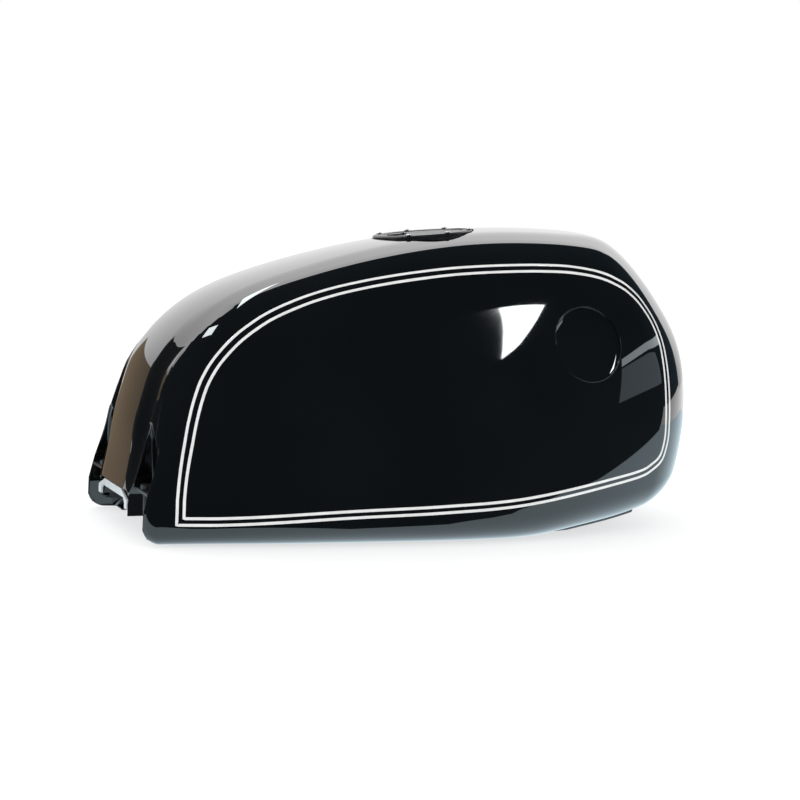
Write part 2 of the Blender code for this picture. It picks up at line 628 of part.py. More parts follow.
# ---------------------------------------------------------------- filler neck, drain and cap base
neck_profile = [(NECK_R, -0.0072), (0.0243, -0.0072), (0.0243, -0.0081), (0.0497, -0.0081), (0.0497, -0.0032),
                (0.0509, -0.0032), (0.0509, -0.0093), (0.0243, -0.0093), (0.0243, -0.0450), (NECK_R, -0.0450)]
neck = add("filler_neck", turned("filler_neck", neck_profile, 40), UNDERSIDE, CAP)
drain_spot = CAP @ Vector((DRAIN_REACH * math.cos(DRAIN_ANGLE), DRAIN_REACH * math.sin(DRAIN_ANGLE), -0.0081))
drain_foot = along(TUNNEL_ROOF, drain_spot.x) - 0.008
drain_place = Matrix.Translation((drain_spot.x, drain_spot.y, 0))
drain_profile = [(DRAIN_R - 0.0010, drain_foot), (DRAIN_R, drain_foot), (DRAIN_R, drain_spot.z - 0.0004),
                 (DRAIN_R - 0.0010, drain_spot.z - 0.0004)]
add("drain_tube", turned("drain_tube", drain_profile, 12), STEEL, drain_place)
for owner, low, high in ((neck, drain_spot.z - 0.02, drain_spot.z + 0.004), (pan, drain_foot - 0.01, drain_foot + 0.04)):
    name = "cut_drain_" + owner.name
    profile = [(0, low), (DRAIN_R + 0.0003, low), (DRAIN_R + 0.0003, high), (0, high)]
    boolean(owner, cutter(name, turned(name, profile, 12), drain_place))

SCREW_ANGLES = [math.radians(a) for a in (36, 84, 132, 228, 276, 324)]
SCREW_REACH, SCREW_R = 0.0463, 0.0016
HEAD_R = 0.0027
ring_profile = [(LID_R + 0.0004, -0.0012), (LID_R + 0.0016, 0.0), (RING_R - 0.0012, 0.0), (RING_R, -0.0012),
                (RING_R, -0.0060), (LID_R + 0.0004, -0.0060)]
ring = add("cap_ring", turned("cap_ring", ring_profile, 64), ANODISED, CAP)
gasket_profile = [(0.0436, -0.0078), (0.0491, -0.0078), (0.0491, -0.0063), (0.0436, -0.0063)]
gasket = add("cap_ring_gasket", turned("cap_ring_gasket", gasket_profile, 40), RUBBER, CAP)
for k, angle in enumerate(SCREW_ANGLES):
    spot = CAP @ Matrix.Translation((SCREW_REACH * math.cos(angle), SCREW_REACH * math.sin(angle), 0))
    profile = [(0, -0.0120), (SCREW_R, -0.0120), (SCREW_R, GAP), (HEAD_R, GAP), (HEAD_R, 0.0010),
               (HEAD_R * 0.6, 0.0017), (0, 0.0017)]
    add(f"cap_screw_{k + 1}", turned(f"cap_screw_{k + 1}", profile, 12), STEEL, spot)
    for owner in (ring, gasket, neck):
        name = f"cut_screw_{k + 1}_{owner.name}"
        profile = [(0, -0.02), (SCREW_R + 0.0003, -0.02), (SCREW_R + 0.0003, 0.01), (0, 0.01)]
        boolean(owner, cutter(name, turned(name, profile, 12), spot))

# ---------------------------------------------------------------- hinged lid, seal, breather
HINGE = CAP @ Matrix.Translation((HINGE_X, 0, HINGE_H)) @ Matrix.Rotation(math.radians(90), 4, "X")
PIN_R, PIN_HALF, TAB_HALF, NOTCH_HALF = 0.0012, 0.0165, 0.0115, 0.0120
notch = block("cut_hinge_notch", (LID_R - 0.003, -NOTCH_HALF, -0.02), (HINGE_X + 0.0038, NOTCH_HALF, 0.02))
boolean(ring, cutter("cut_hinge_notch", notch, CAP))
pin_bore = turned("cut_pin_bore", [(0, -0.02), (PIN_R + 0.0003, -0.02), (PIN_R + 0.0003, 0.02), (0, 0.02)], 16)
boolean(ring, cutter("cut_pin_bore", pin_bore, HINGE))
pin = turned("hinge_pin", [(0, -PIN_HALF), (PIN_R, -PIN_HALF), (PIN_R, PIN_HALF), (0, PIN_HALF)], 12)
add("hinge_pin", pin, STEEL, HINGE)

lid_pivot = bpy.data.objects.new("lid_pivot", None)
bpy.context.scene.collection.objects.link(lid_pivot)
lid_pivot.matrix_world = CAP @ Matrix.Translation((HINGE_X, 0, HINGE_H))
bpy.context.view_layer.update()
ON_LID = Matrix.Translation((-HINGE_X, 0, -HINGE_H))
LOCK_R = 0.0050
lid_profile = [(0, -0.0100), (0.0200, -0.0100), (0.0200, -0.0055), (LID_R - 0.0008, -0.0055), (LID_R, -0.0047),
               (LID_R, -0.0013), (LID_R - 0.0008, -0.0005), (0, -0.0005)]
lid = add("cap_lid", turned("cap_lid", lid_profile, 56), ANODISED, ON_LID, lid_pivot)
KNUCKLE_R = 0.0022
tab_outline = [(KNUCKLE_R * math.cos(math.radians(a)), KNUCKLE_R * math.sin(math.radians(a)))
               for a in range(-90, 91, 20)]
tab_outline += [(LID_R - 0.007 - HINGE_X, KNUCKLE_R), (LID_R - 0.007 - HINGE_X, -KNUCKLE_R)]
tab = prism("lid_tab", tab_outline, -TAB_HALF, TAB_HALF)
boolean(lid, cutter("lid_tab", tab, HINGE), "UNION")
lid_bore = turned("cut_lid_bore", [(0, -0.02), (PIN_R + 0.0003, -0.02), (PIN_R + 0.0003, 0.02), (0, 0.02)], 16)
boolean(lid, cutter("cut_lid_bore", lid_bore, HINGE))
LOCK = CAP @ Matrix.Translation((LOCK_X, 0, 0))
seal_profile = [(0.0206, -0.0069), (0.0256, -0.0069), (0.0256, -0.0058), (0.0206, -0.0058)]
add("lid_seal", turned("lid_seal", seal_profile, 32), RUBBER, ON_LID, lid_pivot)
breather_profile = [(0, -0.0160), (0.0035, -0.0160), (0.0045, -0.0150), (0.0045, -0.0103), (0, -0.0103)]
add("breather_valve", turned("breather_valve", breather_profile, 16), BRASS, ON_LID, lid_pivot)

# ---------------------------------------------------------------- lock, cam and keyhole cover
lock_profile = [(0, -0.0063), (LOCK_R, -0.0063), (LOCK_R, -0.0004), (0, -0.0004)]
lock = add("lock_cylinder", turned("lock_cylinder", lock_profile, 20), BRASS,
           ON_LID @ Matrix.Translation((LOCK_X, 0, 0)), lid_pivot)
slot = block("cut_keyway", (-0.0006, -0.0026, -0.0030), (0.0006, 0.0026, 0.01))
boolean(lock, cutter("cut_keyway", slot, LOCK))
CAM_REACH, CAM_HUB = 0.0108, 0.0042
cam_outline = [(CAM_HUB * math.cos(math.radians(a)), CAM_HUB * math.sin(math.radians(a)))
               for a in range(140, 401, 20)] + [(0.0022, CAM_REACH), (-0.0022, CAM_REACH)]
add("lock_cam", prism("lock_cam", cam_outline, -0.0078, -0.0066), STEEL,
    ON_LID @ Matrix.Translation((LOCK_X, 0, 0)), lid_pivot)
COVER_PIVOT = 0.0105
cover_outline = [(-COVER_PIVOT + 0.0062 * math.cos(math.radians(a)), 0.0062 * math.sin(math.radians(a)))
                 for a in range(70, 291, 20)]
cover_outline += [(0.0036 * math.cos(math.radians(a)), 0.0036 * math.sin(math.radians(a)))
                  for a in range(-70, 71, 20)]
cover_spot = ON_LID @ Matrix.Translation((LOCK_X + COVER_PIVOT, 0, 0))
cover = add("keyhole_cover", prism("keyhole_cover", cover_outline, 0.0, 0.0010), ANODISED, cover_spot, lid_pivot)
cover_world = CAP @ Matrix.Translation((LOCK_X + COVER_PIVOT, 0, 0))
bore = turned("cut_cover_bore", [(0, -0.0040), (0.0013, -0.0040), (0.0013, 0.01), (0, 0.01)], 12)
boolean(cover, cutter("cut_cover_bore", bore, cover_world))
boolean(lid, cutter("cut_cover_seat", bore.copy(), cover_world @ Matrix.Rotation(math.radians(15), 4, "Z")))
lock_bore = turned("cut_lock_bore", [(0, -0.02), (LOCK_R + 0.0003, -0.02), (LOCK_R + 0.0003, 0.01), (0, 0.01)], 20)
boolean(lid, cutter("cut_lock_bore", lock_bore, LOCK))
rivet_profile = [(0, -0.0037), (0.0010, -0.0037), (0.0010, 0.0013), (0.0020, 0.0013), (0.0017, 0.0019), (0, 0.0020)]
add("cover_rivet", turned("cover_rivet", rivet_profile, 12), STEEL, cover_spot, lid_pivot)
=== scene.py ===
import math

import bmesh
import bpy
import numpy as np
from mathutils import Matrix, Vector


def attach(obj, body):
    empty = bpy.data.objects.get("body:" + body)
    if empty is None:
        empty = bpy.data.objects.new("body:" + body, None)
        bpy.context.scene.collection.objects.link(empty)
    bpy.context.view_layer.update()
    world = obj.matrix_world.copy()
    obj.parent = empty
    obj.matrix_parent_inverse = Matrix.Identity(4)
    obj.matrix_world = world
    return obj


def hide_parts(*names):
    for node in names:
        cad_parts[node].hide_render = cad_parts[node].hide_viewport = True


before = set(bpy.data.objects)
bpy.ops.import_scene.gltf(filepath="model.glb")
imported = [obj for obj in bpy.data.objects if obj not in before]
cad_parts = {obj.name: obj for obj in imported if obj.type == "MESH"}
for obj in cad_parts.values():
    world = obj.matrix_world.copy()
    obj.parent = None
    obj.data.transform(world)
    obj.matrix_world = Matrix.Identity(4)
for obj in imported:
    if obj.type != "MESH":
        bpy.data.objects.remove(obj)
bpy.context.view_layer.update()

SCENE = bpy.context.scene

# ---------------------------------------------------------------- the tank's outer form, as in the CAD
LEAN = 1.50
PROFILE = [
    (-0.282, -0.010, 0.010, 0.0),
    (-0.2925, 0.014, 0.013, 0.2),
    (-0.2930, 0.041, 0.018, 0.6),
    (-0.2885, 0.070, 0.023, 1.3),
    (-0.2850, 0.101, 0.031, 2.5),
    (-0.2780, 0.130, 0.034, 2.9),
    (-0.2715, 0.151, 0.034, 3.0),
    (-0.2595, 0.172, 0.033, 3.0),
    (-0.2370, 0.197, 0.031, 3.1),
    (-0.1975, 0.2240, 0.028, 3.2),
    (-0.138, 0.2475, 0.025, 3.3),
    (-0.066, 0.2675, 0.023, 3.3),
    (0.024, 0.2840, 0.022, 3.3),
    (0.104, 0.2905, 0.024, 3.3),
    (0.159, 0.2905, 0.026, 3.3),
    (0.191, 0.2850, 0.030, 3.3),
    (0.2245, 0.2605, 0.036, 3.3),
    (0.2550, 0.2275, 0.044, 3.2),
    (0.2790, 0.1930, 0.050, 3.0),
    (0.2930, 0.1500, 0.054, 2.8),
    (0.2930, 0.1050, 0.052, 2.6),
    (0.2845, 0.0600, 0.046, 2.5),
    (0.2740, 0.0250, 0.042, 2.5),
    (0.262, -0.010, 0.040, 2.5),
]
WIDTH = [(-0.306, 0.101), (-0.271, 0.107), (-0.196, 0.1250), (-0.086, 0.1440), (0.014, 0.1525),
         (0.104, 0.1485), (0.174, 0.1375), (0.234, 0.1215), (0.304, 0.0950)]
WAIST = [(-0.306, 0.040), (-0.106, 0.040), (0.034, 0.042), (0.104, 0.062), (0.164, 0.082), (0.304, 0.110)]
FLOOR = [(-0.306, 0.0), (-0.106, 0.0), (0.034, 0.0), (0.084, 0.0010), (0.134, 0.0065), (0.194, 0.0140),
         (0.244, 0.0245), (0.304, 0.040)]
ROLL = [(-0.306, 0.012), (-0.276, 0.014), (-0.206, 0.020), (-0.106, 0.026), (0.044, 0.027),
        (0.154, 0.028), (0.304, 0.026)]
VALLEY_DEPTH, VALLEY_Y = 0.006, (0.036, 0.066)
VALLEY_Z, VALLEY_REACH = 0.100, 0.110
# Half width of the tunnel and height of its mouth's edge, at the rear and at the nose
TUNNEL_HALF = (0.040, 0.055)
MOUTH_Z = (0.041, 0.106)
POCKET = [(0.0490, -0.010), (0.0490, 0.0380), (0.0545, 0.0500), (0.0560, 0.0780), (0.0585, 0.0940),
          (0.0670, 0.1040), (0.0800, 0.0945), (0.0890, 0.0810), (0.0935, 0.0670), (0.0950, 0.0500),
          (0.0950, -0.010)]
POCKET_FOOT = (0.0180, 0.0030)
CAP_CENTRE = Vector((0.010, 0.0, 0.2818))
CAP_TILT = math.radians(-7.1)
HOLE_R, HOLE_DEPTH = 0.0505, 0.030
BADGE_XZ, BADGE_R, BADGE_FLOOR = (0.131, 0.185), 0.0368, -0.0038
BADGE_DEPTH = 0.012
POCKET_CUT_X = (-0.340, -0.262)
SKIN = 0.0009
# Spans that are searched for the rear face and for the flank, from outside to inside
REAR_SCAN_X, FLANK_SCAN_Y = (-0.300, -0.235), (0.160, 0.040)
# A face belongs to the outer surface when it lies this close to the form and faces along its normal
ON_FORM, FACES_OUT = 1.2e-4, 0.6


class Spline:
    """Natural cubic spline through a few points."""

    def __init__(self, xs, ys):
        self.x = np.array(xs, float)
        self.y = np.array(ys, float)
        self.h = np.diff(self.x)
        count = len(self.x)
        matrix = np.eye(count)
        right = np.zeros(count)
        for i in range(1, count - 1):
            left_h, right_h = self.h[i - 1], self.h[i]
            matrix[i, i - 1:i + 2] = left_h, 2 * (left_h + right_h), right_h
            right[i] = 6 * ((self.y[i + 1] - self.y[i]) / right_h - (self.y[i] - self.y[i - 1]) / left_h)
        self.bend = np.linalg.solve(matrix, right)

    def _cell(self, q):
        q = np.clip(q, self.x[0], self.x[-1])
        i = np.clip(np.searchsorted(self.x, q) - 1, 0, len(self.x) - 2)
        a = (self.x[i + 1] - q) / self.h[i]
        return i, a, 1 - a

    def __call__(self, q):
        i, a, b = self._cell(q)
        curve = (a ** 3 - a) * self.bend[i] + (b ** 3 - b) * self.bend[i + 1]
        return a * self.y[i] + b * self.y[i + 1] + curve * self.h[i] ** 2 / 6

    def slope(self, q):
        i, a, b = self._cell(q)
        curve = (1 - 3 * a * a) * self.bend[i] + (3 * b * b - 1) * self.bend[i + 1]
        return (self.y[i + 1] - self.y[i]) / self.h[i] + curve * self.h[i] / 6


def columns(rows):
    return [np.array(c) for c in zip(*rows)]


PX, PZ, PR, PC = columns(PROFILE)
KNOTS = np.concatenate([[0], np.cumsum(np.hypot(np.diff(PX), np.diff(PZ)) ** 0.5)])
line_x, line_z = Spline(KNOTS, PX), Spline(KNOTS, PZ)
corner_radius, crown = Spline(KNOTS, PR), Spline(KNOTS, PC)
width, waist = Spline(*columns(WIDTH)), Spline(*columns(WAIST))
floor_line, roll = Spline(*columns(FLOOR)), Spline(*columns(ROLL))
SAMPLES = np.linspace(0, KNOTS[-1], 240)


def nearest_on_profile(x, z):
    """Depth inside the centre line, and where along it the nearest point is."""
    apart = (x[:, None] - line_x(SAMPLES)) ** 2 + (z[:, None] - line_z(SAMPLES)) ** 2
    t = SAMPLES[apart.argmin(1)]
    for _ in range(4):
        dx, dz = x - line_x(t), z - line_z(t)
        tx, tz = line_x.slope(t), line_z.slope(t)
        t = np.clip(t + (dx * tx + dz * tz) / (tx * tx + tz * tz), 0, KNOTS[-1])
    dx, dz = x - line_x(t), z - line_z(t)
    tx, tz = line_x.slope(t), line_z.slope(t)
    return (tz * dx - tx * dz) / np.hypot(tx, tz), t


def round_corner(a, b, radius):
    """Two distance fields joined with a rounded corner."""
    u, v = np.maximum(a + radius, 0), np.maximum(b + radius, 0)
    return np.minimum(np.maximum(a, b), -radius) + np.hypot(u, v)


def form(points):
    """Distance outside the tank's outer surface, negative inside, for an array of points."""
    x, y, z = points[:, 0], np.abs(points[:, 1]), points[:, 2]
    depth, t = nearest_on_profile(x, z)
    bow = crown(t)
    fade = np.clip(1 - np.abs(z - VALLEY_Z) / VALLEY_REACH, 0, 1) * (x < 0)
    across = np.clip((y - VALLEY_Y[0]) / (VALLEY_Y[1] - VALLEY_Y[0]), 0, 1)
    valley = VALLEY_DEPTH * fade * 6.75 * across ** 2 * (1 - across)
    band = (y ** 2 * bow / 2 + valley - depth) / np.sqrt(1 + (y * bow) ** 2)
    above = z - waist(x)
    flank = y - width(x) + LEAN * above ** 2
    flank = flank / np.sqrt(1 + (2 * LEAN * above) ** 2 + width.slope(x) ** 2)
    under = (floor_line(x) - z) / np.sqrt(1 + floor_line.slope(x) ** 2)
    return round_corner(round_corner(band, flank, corner_radius(t)), under, roll(x))


def slopes(points, step=2e-5):
    """Direction in which the form rises at each point, not normalised."""
    rises = [form(points + step * axis) - form(points - step * axis) for axis in np.eye(3)]
    return np.stack(rises, -1) / (2 * step)


def settle(points, level=0.0, rounds=5):
    """Moves points onto the surface where form() equals level."""
    points = np.array(points, float)
    for _ in range(rounds):
        value = form(points) - level
        slope = slopes(points)
        points = points - slope * (value / np.maximum((slope ** 2).sum(-1), 0.2))[:, None]
    return points


def normals(points):
    slope = slopes(np.array(points, float))
    return slope / np.linalg.norm(slope, axis=1)[:, None]


# ---------------------------------------------------------------- fine skin of the left half
def refine(shares, times):
    """The same stations with more between them."""
    fine = []
    for a, b in zip(shares, shares[1:]):
        fine += [a + (b - a) * k / times for k in range(times)]
    return fine + [shares[-1]]


FINE = 6
ACROSS = refine((0.0, 0.28, 0.52, 0.70, 0.80, 0.88, 0.95, 1.0), FINE)
RIM_ROW = 3 * FINE
UP_FLANK = refine((0.0, 0.04, 0.09, 0.15, 0.24, 0.36, 0.50, 0.64, 0.78, 0.89, 0.95, 1.0), FINE)
ALONG_FLANK = refine((0.0, 0.03, 0.07, 0.12, 0.18, 0.27, 0.37, 0.47, 0.57, 0.67, 0.76, 0.84, 0.91, 0.96, 1.0),
                     8)


def knot_at(x, z):
    return nearest_on_profile(np.array([x]), np.array([z]))[1][0]


# Where the rear and the nose turn into the top
REAR_CORNER, NOSE_CORNER = knot_at(-0.238, 0.193), knot_at(0.236, 0.245)
# How far the tunnel mouth's edge runs out to the side at each end, and how soon it drops to the underside
MOUTH_REACH = (0.104, 0.112)
MOUTH_SPREAD = (0.045, 0.016)
NOSE_FOOT_Z = 0.0485


def foot_height(y, mouth_z, half, spread):
    """The band ends at the tunnel mouth in the middle and at the underside at the lobes."""
    blend = min(max((y - half) / spread, 0.0), 1.0)
    return mouth_z * (1 - blend * blend * (3 - 2 * blend))


def knot_at_height(z, rear):
    knots = np.linspace(0, REAR_CORNER, 300) if rear else np.linspace(NOSE_CORNER, KNOTS[-1], 300)
    return knots[np.abs(line_z(knots) - z).argmin()]


def band_point(t, share):
    """A point on the sharp-cornered band: t along the centre line, share of the way to the flank."""
    x, z = float(line_x(t)), float(line_z(t))
    tx, tz = float(line_x.slope(t)), float(line_z.slope(t))
    size = math.hypot(tx, tz)
    inward = (tz / size, -tx / size)
    y, bow = 0.12, float(crown(t))
    for _ in range(6):
        drop = y * y * bow / 2
        px, pz = x + inward[0] * drop, z + inward[1] * drop
        y = float(width(px)) - LEAN * (pz - float(waist(px))) ** 2
    y *= share
    drop = y * y * bow / 2
    return x + inward[0] * drop, y, z + inward[1] * drop


def band_station(kind, q, share):
    if kind == "top":
        return band_point(REAR_CORNER + (NOSE_CORNER - REAR_CORNER) * q, share)
    rear = kind == "rear"
    end = 0 if rear else 1
    lowest = foot_height(share * MOUTH_REACH[end], MOUTH_Z[end], TUNNEL_HALF[end], MOUTH_SPREAD[end])
    if not rear:
        lowest = max(lowest, NOSE_FOOT_Z) if share < 0.99 else NOSE_FOOT_Z
    foot = knot_at_height(lowest, rear)
    corner = REAR_CORNER if rear else NOSE_CORNER
    return band_point(foot + (corner - foot) * q, share)


def skin_rows():
    """Rows of grid points for the band, the flank and the bottom strip of the left half."""
    rear = [[band_station("rear", q, s) for s in ACROSS] for q in UP_FLANK]
    top = [[band_station("top", q, s) for s in ACROSS] for q in ALONG_FLANK]
    nose = [[band_station("nose", q, s) for s in ACROSS] for q in UP_FLANK[::-1]]
    band = rear + top[1:] + nose[1:]
    left = [row[-1] for row in rear]
    right = [row[-1] for row in nose[::-1]]
    upper = [row[-1] for row in top]
    lower = []
    for q in ALONG_FLANK:
        x = left[0][0] + (right[0][0] - left[0][0]) * q
        z = float(floor_line(x))
        if q == 0:
            z = left[0][2]
        elif q == 1:
            z = right[0][2]
        lower.append((x, 0.0, z))
    flank = []
    for j, v in enumerate(UP_FLANK):
        row = []
        for i, u in enumerate(ALONG_FLANK):
            p = []
            for k in (0, 2):
                sides = (1 - u) * left[j][k] + u * right[j][k]
                ends = (1 - v) * lower[i][k] + v * upper[i][k]
                corners = (1 - u) * ((1 - v) * left[0][k] + v * left[-1][k])
                corners += u * ((1 - v) * right[0][k] + v * right[-1][k])
                p.append(sides + ends - corners)
            y = float(width(p[0])) - LEAN * (p[1] - float(waist(p[0]))) ** 2
            row.append((p[0], y, p[1]))
        flank.append(row)
    for j in range(len(UP_FLANK)):
        flank[j][0], flank[j][-1] = left[j], right[j]
    flank[-1] = upper
    strip = [[(x, y * s, z) for x, y, z in flank[0]] for s in ACROSS[RIM_ROW:]]
    for k in range(len(strip)):
        strip[k][0] = rear[0][RIM_ROW + k]
        strip[k][-1] = nose[-1][RIM_ROW + k]
    return band, flank, strip


def grid_faces(rows, offset):
    wide = len(rows[0])
    return [(offset + j * wide + i, offset + j * wide + i + 1, offset + (j + 1) * wide + i + 1,
             offset + (j + 1) * wide + i) for j in range(len(rows) - 1) for i in range(wide - 1)]


def bm_mesh(name, bm):
    """Turns a bmesh into a mesh and frees it."""
    mesh = bpy.data.meshes.new(name)
    bm.to_mesh(mesh)
    bm.free()
    return mesh


def link(name, mesh):
    """A new object of the scene with this mesh."""
    made = bpy.data.objects.new(name, mesh)
    SCENE.collection.objects.link(made)
    return made


def skin_solid():
    """The left skin as a thin closed solid: outer surface, inner copy and a rim between them."""
    verts, faces = [], []
    for rows in skin_rows():
        faces += grid_faces(rows, len(verts))
        verts += [p for row in rows for p in row]
    middle = np.array([abs(p[1]) < 1e-9 for p in verts])
    placed = settle(verts)
    placed[middle, 1] = 0.0
    bm = bmesh.new()
    made = [bm.verts.new(p) for p in placed]
    for face in faces:
        bm.faces.new([made[i] for i in face])
    bmesh.ops.remove_doubles(bm, verts=bm.verts, dist=2e-5)
    bmesh.ops.recalc_face_normals(bm, faces=bm.faces)
    bm.faces.ensure_lookup_table()
    centre = Vector((0, 0, 0.14))
    if sum(f.normal.dot(f.calc_center_median() - centre) for f in bm.faces) < 0:
        bmesh.ops.reverse_faces(bm, faces=bm.faces)
    outer = list(bm.verts)
    where = np.array([v.co for v in outer])
    inward = where - normals(where) * SKIN
    inward[np.abs(where[:, 1]) < 1e-7, 1] = 0.0
    twin = {v: bm.verts.new(p) for v, p in zip(outer, inward)}
    open_edges = [e for e in bm.edges if len(e.link_faces) == 1]
    rims = []
    for edge in open_edges:
        loop = edge.link_loops[0]
        a, b = loop.vert, loop.link_loop_next.vert
        rims.append((b, a, twin[a], twin[b]))
    for face in list(bm.faces):
        bm.faces.new([twin[v] for v in reversed(face.verts)])
    for rim in rims:
        bm.faces.new(rim)
    return bm_mesh("skin", bm)


def circle(segments):
    """Points of a unit circle."""
    turns = [2 * math.pi * k / segments for k in range(segments)]
    return [(math.cos(a), math.sin(a)) for a in turns]


def sheet(rows, closed):
    """Quads between rows of points, as a bmesh, and the last row's vertices."""
    bm = bmesh.new()
    made = [[bm.verts.new(p) for p in row] for row in rows]
    count = len(rows[0])
    for a, b in zip(made, made[1:]):
        for i in range(count if closed else count - 1):
            j = (i + 1) % count
            bm.faces.new((a[i], a[j], b[j], b[i]))
    return bm, made[-1]


def cylinder(radius, reach, segments=96):
    """A closed cylinder about Z that reaches as far below the origin as above it."""
    bm = bmesh.new()
    bottom = bm.verts.new((0, 0, -reach))
    low = [bm.verts.new((radius * c, radius * s, -reach)) for c, s in circle(segments)]
    high = [bm.verts.new((radius * c, radius * s, reach)) for c, s in circle(segments)]
    top = bm.verts.new((0, 0, reach))
    sides = [(k, (k + 1) % segments) for k in range(segments)]
    for k, n in sides:
        bm.faces.new((bottom, low[n], low[k]))
    for k, n in sides:
        bm.faces.new((low[k], low[n], high[n], high[k]))
    for k, n in sides:
        bm.faces.new((high[k], high[n], top))
    bmesh.ops.recalc_face_normals(bm, faces=bm.faces)
    return bm_mesh("cutter", bm)


def prism(outline, low, high):
    """An outline drawn out along Z from low to high."""
    bm = bmesh.new()
    rings = [[bm.verts.new((x, y, z)) for x, y in outline] for z in (low, high)]
    bm.faces.new(rings[0])
    bm.faces.new(rings[1])
    for i in range(len(outline)):
        j = (i + 1) % len(outline)
        bm.faces.new((rings[0][i], rings[0][j], rings[1][j], rings[1][i]))
    bmesh.ops.recalc_face_normals(bm, faces=bm.faces)
    return bm_mesh("cutter", bm)


def cut(target, meshes):
    """Subtracts meshes from the target and keeps the plain result."""
    tools = []
    for mesh in meshes:
        tool = link("tool", mesh)
        tools.append(tool)
        change = target.modifiers.new("cut", "BOOLEAN")
        change.object = tool
        change.operation = "DIFFERENCE"
        change.solver = "EXACT"
    bpy.context.view_layer.update()
    seen = bpy.context.evaluated_depsgraph_get()
    result = bpy.data.meshes.new_from_object(target.evaluated_get(seen))
    target.modifiers.clear()
    target.data = result
    for tool in tools:
        bpy.data.objects.remove(tool)


LENGTHWAYS = Matrix(((0, 0, 1, 0), (1, 0, 0, 0), (0, 1, 0, 0), (0, 0, 0, 1)))
CAP = Matrix.Translation(CAP_CENTRE) @ Matrix.Rotation(CAP_TILT, 4, "Y")


def placed_mesh(mesh, place):
    mesh.transform(place)
    return mesh


def smooth_outline(points, per_span=6):
    """A rounded open curve through outline points (Catmull-Rom)."""
    pts = [np.array(p, float) for p in points]
    out = []
    count = len(pts)
    for i in range(count - 1):
        p0 = pts[i - 1] if i > 0 else 2 * pts[0] - pts[1]
        p1, p2 = pts[i], pts[i + 1]
        p3 = pts[i + 2] if i + 2 < count else 2 * pts[-1] - pts[-2]
        for k in range(per_span):
            t = k / per_span
            out.append(0.5 * (2 * p1 + (p2 - p0) * t + (2 * p0 - 5 * p1 + 4 * p2 - p3) * t * t
                              + (3 * p1 - p0 - 3 * p2 + p3) * t ** 3))
    out.append(pts[-1])
    return out


badge_centre = settle([(BADGE_XZ[0], 0.127, BADGE_XZ[1])])[0]
badge_out = Vector(normals([badge_centre])[0])
BADGE = Matrix.Translation(badge_centre) @ badge_out.to_track_quat("Z", "Y").to_matrix().to_4x4()
pocket_outline = [tuple(p) for p in smooth_outline(POCKET[1:-1])]
pocket_cutter = [POCKET[0]] + pocket_outline + [POCKET[-1]]

skin = link("skin_left", skin_solid())
cut(skin, [
    placed_mesh(cylinder(HOLE_R, HOLE_DEPTH), CAP),
    placed_mesh(prism(pocket_cutter, *POCKET_CUT_X), LENGTHWAYS),
    placed_mesh(cylinder(BADGE_R, BADGE_DEPTH), BADGE)])


def shade_by_form(mesh):
    """Normals of the outer faces come from the form itself, so that reflections run smoothly."""
    count = len(mesh.vertices)
    where = np.empty(count * 3)
    mesh.vertices.foreach_get("co", where)
    where = where.reshape(-1, 3)
    level = form(where)
    exact = normals(where)
    mesh.polygons.foreach_set("use_smooth", [True] * len(mesh.polygons))
    custom = []
    for poly in mesh.polygons:
        outer = all(abs(level[v]) < ON_FORM for v in poly.vertices)
        out = outer and poly.normal.dot(Vector(exact[poly.vertices[0]])) > FACES_OUT
        for v in poly.vertices:
            custom.append(tuple(exact[v]) if out else tuple(poly.normal))
    mesh.normals_split_custom_set(custom)


def mirrored(source, name):
    """The right-hand twin of a piece on the left."""
    mesh = source.data.copy()
    mesh.transform(Matrix.Diagonal((1, -1, 1, 1)))
    mesh.flip_normals()
    return link(name, mesh)


right = mirrored(skin, "skin_right")
shade_by_form(skin.data)
shade_by_form(right.data)


# ---------------------------------------------------------------- beads, ribbons and dishes on the skin
def bead(name, path, outward, radius, closed, sides=10):
    """A thin rolled edge: a round section swept along a path."""
    pts = [Vector(p) for p in path]
    bm = bmesh.new()
    rings = []
    count = len(pts)
    section = circle(sides)
    for i, p in enumerate(pts):
        before = pts[(i - 1) % count] if closed or i > 0 else p
        after = pts[(i + 1) % count] if closed or i < count - 1 else p
        along = (after - before).normalized()
        up = Vector(outward[i])
        side = along.cross(up).normalized()
        up = side.cross(along).normalized()
        rings.append([bm.verts.new(p + side * (radius * c) + up * (radius * s)) for c, s in section])
    spans = range(count) if closed else range(count - 1)
    for i in spans:
        here, there = rings[i], rings[(i + 1) % count]
        for k in range(sides):
            n = (k + 1) % sides
            bm.faces.new((here[k], here[n], there[n], there[k]))
    if not closed:
        bm.faces.new(rings[0][::-1])
        bm.faces.new(rings[-1])
    bmesh.ops.recalc_face_normals(bm, faces=bm.faces)
    for face in bm.faces:
        face.smooth = True
    return bm_mesh(name, bm)


def ribbon(name, centre_line, half_width, lift):
    """A flat painted line laid on the form along a path of points on it."""
    pts = settle(centre_line)
    ahead = np.roll(pts, -1, 0) - np.roll(pts, 1, 0)
    up = normals(pts)
    side = np.cross(ahead, up)
    side = side / np.linalg.norm(side, axis=1)[:, None]
    shares = (-1.0, -0.5, 0.0, 0.5, 1.0)
    rows = [settle(pts + side * half_width * k, lift if abs(k) < 1 else -lift) for k in shares]
    bm, _ = sheet(rows, True)
    bmesh.ops.recalc_face_normals(bm, faces=bm.faces)
    mesh = bm_mesh(name, bm)
    if mesh.polygons[len(mesh.polygons) // 2].normal.dot(Vector(up[0])) < 0:
        mesh.flip_normals()
    shade_by_form(mesh)
    return mesh


def rear_x(y, z):
    """Where the rear face lies at a height z and a distance y from the middle."""
    xs = np.linspace(*REAR_SCAN_X, 1301)
    inside = form(np.stack([xs, np.full_like(xs, y), np.full_like(xs, z)], -1)) < 0
    return float(xs[inside.argmax()]) if inside.any() else None


